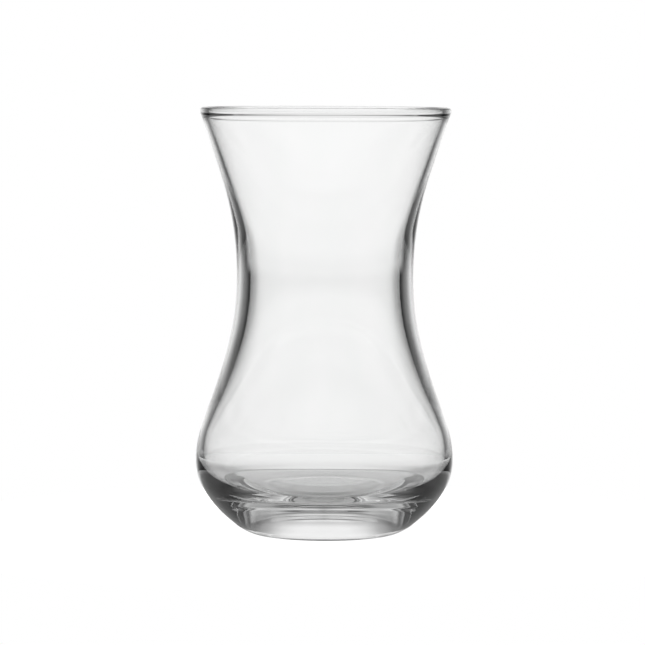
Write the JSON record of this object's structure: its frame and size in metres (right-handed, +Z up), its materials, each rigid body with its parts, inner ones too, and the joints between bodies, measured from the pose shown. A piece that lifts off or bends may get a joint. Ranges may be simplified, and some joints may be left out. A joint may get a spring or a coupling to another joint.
{
  "type": "tea glass",
  "caption": "Clear one-piece tea glass with a heavy rounded base, full belly, drawn-in waist and flared mouth with a fire-polished lip, for serving hot tea.",
  "frame": {"origin": "middle of the foot's bearing plane, on the axis of the glass", "axes": "+Z up along the axis of the glass, from the foot to the mouth"},
  "size_m": [0.0604, 0.0604, 0.1],
  "materials": {
    "clear_glass": "fire-polished clear soda-lime glass"
  },
  "bodies": {
    "root": {"tea_glass": "clear_glass"}
  },
  "joints": []
}
